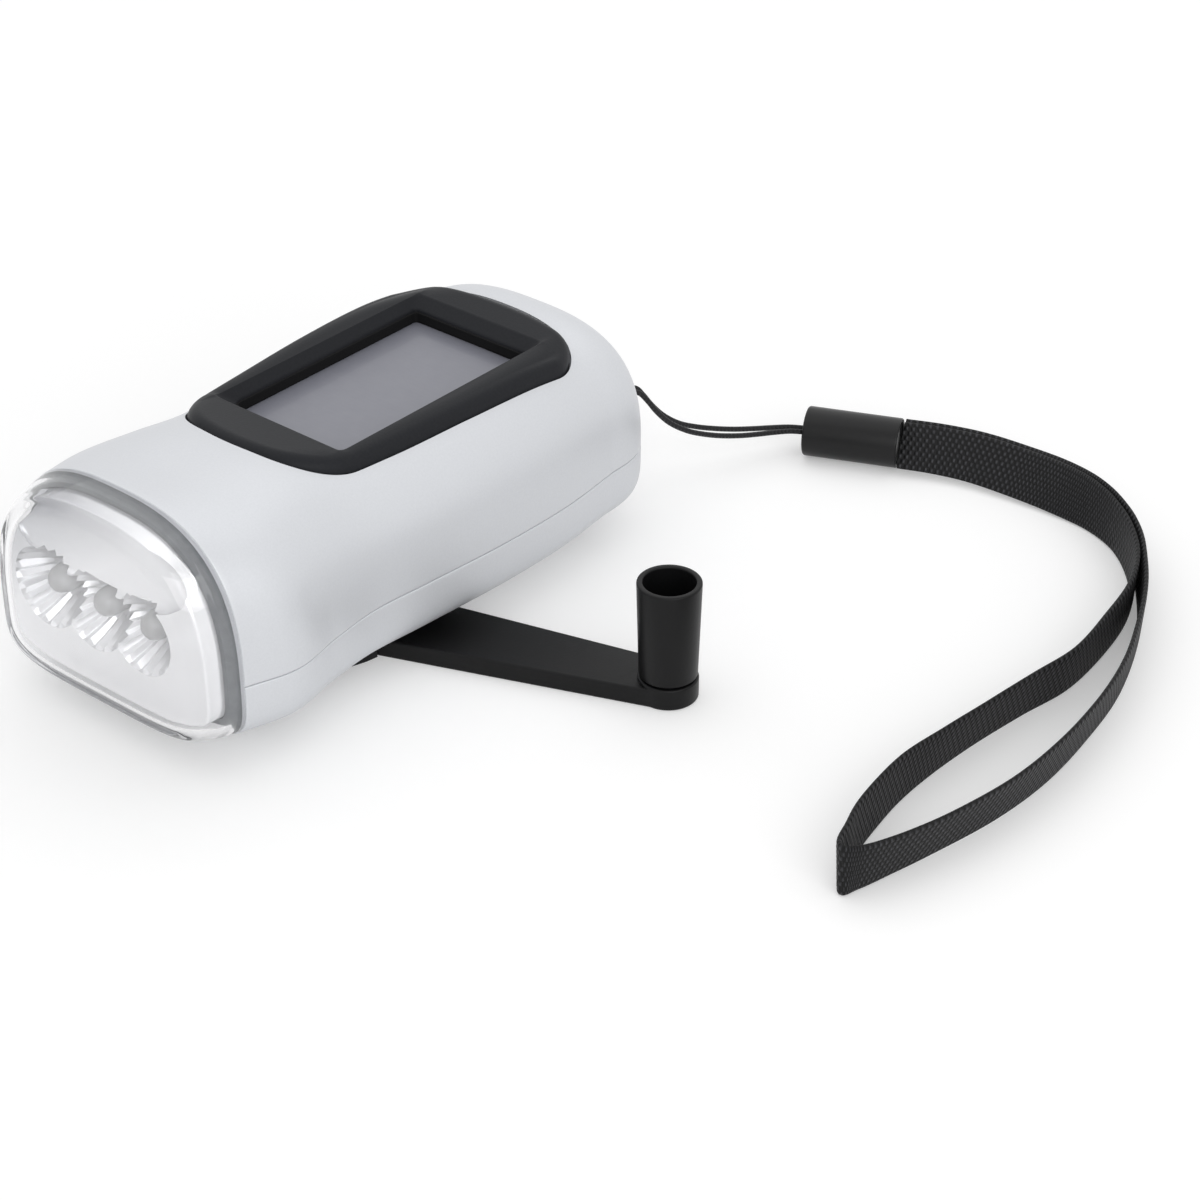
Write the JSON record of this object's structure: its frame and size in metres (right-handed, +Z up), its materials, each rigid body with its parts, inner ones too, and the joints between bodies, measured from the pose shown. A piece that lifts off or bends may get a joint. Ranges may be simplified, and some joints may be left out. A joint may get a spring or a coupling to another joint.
{
  "type": "hand crank flashlight",
  "caption": "Palm-size torch with a clear lens over reflector cups, a solar window on top, a fold-out crank under the body and a wrist strap.",
  "frame": {"origin": "the crank's axis at the table's level, on the bottom face of the crank arm's root in the crank disc", "axes": "+Z up out of the solar window, -Y out of the lens, +X to the side on which the crank arm lies at rest"},
  "size_m": [0.1563, 0.1662, 0.0434],
  "materials": {
    "silver_shell": "satin silver paint on ABS",
    "clear_lens": "clear moulded polycarbonate",
    "reflector_chrome": "vacuum-metallised bright",
    "led_epoxy": "clear epoxy",
    "board_green": "solder resist on laminate",
    "frame_grey": "matte charcoal moulding",
    "solar_glass": "resin-coated cell, bluish grey",
    "steel": "zinc plated",
    "black_plastic": "satin black ABS",
    "white_nylon": "natural acetal",
    "copper_winding": "enamelled wire",
    "magnet": "sintered ferrite",
    "sleeve_grey": "matte charcoal rubber-like moulding",
    "strap_fabric": "woven black polyester"
  },
  "bodies": {
    "torch": {"upper_shell": "silver_shell", "lower_shell": "silver_shell", "lens_cap": "clear_lens", "reflector": "reflector_chrome", "led_1": "led_epoxy", "led_2": "led_epoxy", "led_3": "led_epoxy", "led_board": "board_green", "window_frame": "frame_grey", "solar_panel": "solar_glass", "housing_screw_1": "steel", "housing_screw_2": "steel", "housing_screw_3": "steel", "housing_screw_4": "steel", "main_board": "board_green", "cell_1": "steel", "cell_2": "steel", "cell_3": "steel", "switch_body": "black_plastic", "hub_bush": "white_nylon", "idler_axle": "steel", "gear_plate": "steel", "plate_screw_1": "steel", "plate_screw_2": "steel", "plate_screw_3": "steel", "generator_can": "steel", "generator_base": "black_plastic", "stator_coil": "copper_winding", "strap_eyelet": "steel", "strap_knot": "strap_fabric", "strap_cord_1": "strap_fabric", "strap_cord_2": "strap_fabric", "cord_sleeve": "sleeve_grey", "strap_webbing": "strap_fabric"},
    "switch": {"switch_slider": "black_plastic"},
    "crank_hub": {"crank_disc": "black_plastic", "fold_pin": "steel", "crank_gear": "white_nylon", "hub_screw": "steel"},
    "crank_arm": {"crank_arm": "black_plastic", "handle_pin": "steel"},
    "handle": {"handle": "black_plastic"},
    "idler": {"idler_gear": "white_nylon"},
    "rotor": {"rotor_pinion": "white_nylon", "rotor_shaft": "steel", "rotor_magnet": "magnet"}
  },
  "joints": [
    {"name": "crank_turn", "type": "hinge", "parent": "torch", "child": "crank_hub", "pos_m": [0, 0, 0.0056], "axis": [0, 0, 1], "range_deg": [-258, 42]},
    {"name": "crank_fold", "type": "hinge", "parent": "crank_hub", "child": "crank_arm", "pos_m": [-0.00285, -0.00094, 0.0017], "axis": [-0.3123, 0.95, 0], "range_deg": [0, 180]},
    {"name": "handle_spin", "type": "hinge", "parent": "crank_arm", "child": "handle", "pos_m": [0.06308, 0.02074, 0.0043], "axis": [0, 0, 1], "continuous": true},
    {"name": "idler_spin", "type": "hinge", "parent": "torch", "child": "idler", "pos_m": [0, 0.0209, 0.0086], "axis": [0, 0, 1], "range_deg": [-140, 860]},
    {"name": "rotor_spin", "type": "hinge", "parent": "torch", "child": "rotor", "pos_m": [0, 0.0354, 0.0122], "axis": [0, 0, 1], "range_deg": [-2580, 420]},
    {"name": "switch_slide", "type": "slide", "parent": "torch", "child": "switch", "axis": [0, 1, 0], "range_m": [0, 0.003]}
  ],
  "couplings": [
    {"joint": "idler_spin", "follows": "crank_turn", "ratio": -3.3333},
    {"joint": "rotor_spin", "follows": "crank_turn", "ratio": 10}
  ]
}
